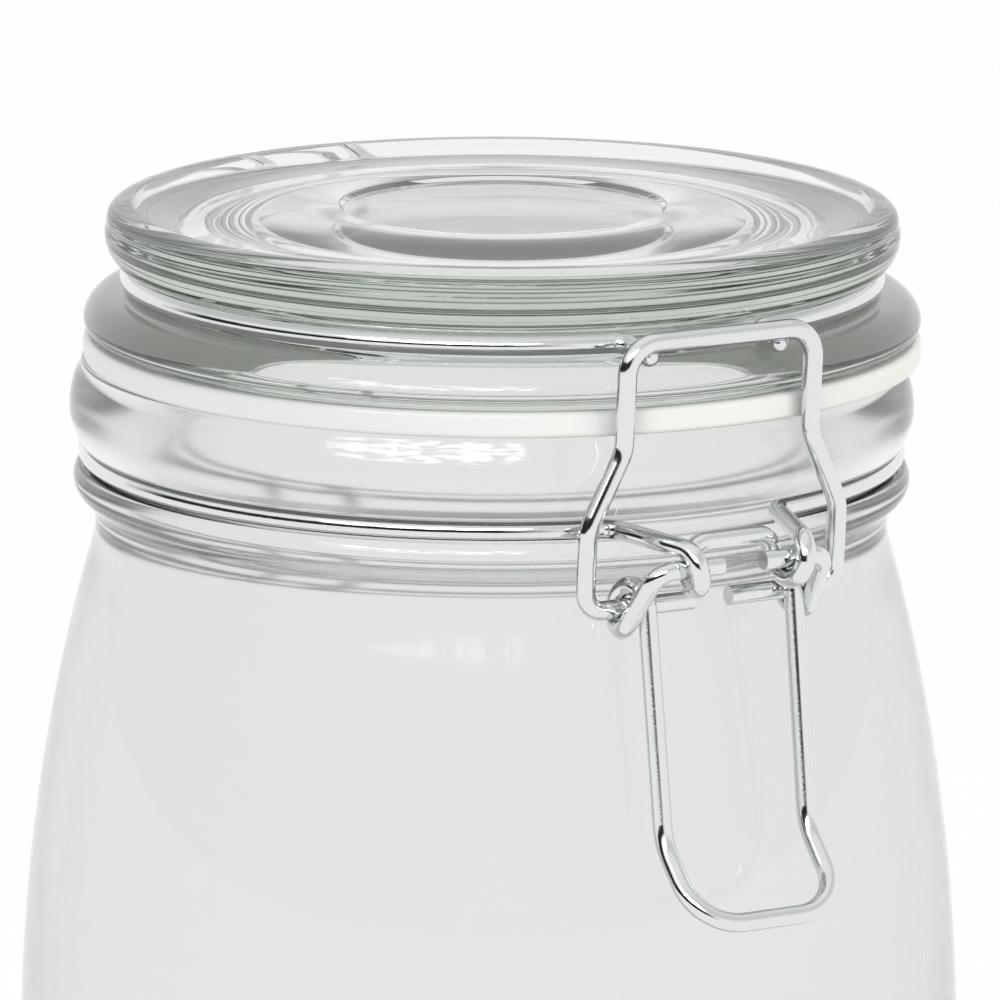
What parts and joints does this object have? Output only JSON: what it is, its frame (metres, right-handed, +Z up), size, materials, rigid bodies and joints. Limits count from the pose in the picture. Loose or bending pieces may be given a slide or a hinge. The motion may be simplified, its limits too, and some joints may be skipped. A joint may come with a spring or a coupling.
{
  "type": "clip-top jar",
  "caption": "Barrel-shaped clear glass storage jar with a hinged glass lid, a sealing ring and a bent-wire clip: a handle lever and a bail that holds the lid shut.",
  "frame": {"origin": "centre of the jar's foot, on the surface it stands on", "axes": "+Z up along the jar's axis; the clip faces -Y and the lid's hinge faces +Y; +X is to the right of someone who faces the clip"},
  "size_m": [0.1136, 0.1245, 0.1745],
  "materials": {
    "clear_glass": "clear soda-lime glass, fire-polished",
    "lid_glass": "clear pressed soda-lime glass, faintly green in the thick edge",
    "silicone": "translucent white silicone, satin",
    "zinc_wire": "bright zinc-plated drawn wire"
  },
  "bodies": {
    "jar": {"jar": "clear_glass", "neck_wire": "zinc_wire"},
    "lid": {"lid": "lid_glass", "gasket": "silicone", "lid_wire": "zinc_wire"},
    "lever": {"lever_wire": "zinc_wire"},
    "bail": {"bail_wire": "zinc_wire"}
  },
  "joints": [
    {"name": "lid_hinge", "type": "hinge", "parent": "jar", "child": "lid", "pos_m": [0, 0.0545, 0.1436], "axis": [-1, 0, 0], "range_deg": [0, 100]},
    {"name": "lever_pivot", "type": "hinge", "parent": "jar", "child": "lever", "pos_m": [0, -0.0579, 0.141], "axis": [-1, 0, 0], "range_deg": [0, 60]},
    {"name": "bail_pivot", "type": "hinge", "parent": "lever", "child": "bail", "pos_m": [0, -0.0508, 0.1355], "axis": [1, 0, 0], "range_deg": [0, 150]}
  ],
  "couplings": [
    {"joint": "lever_pivot", "follows": "lid_hinge", "ratio": 0.6},
    {"joint": "bail_pivot", "follows": "lid_hinge", "ratio": 1.5}
  ]
}
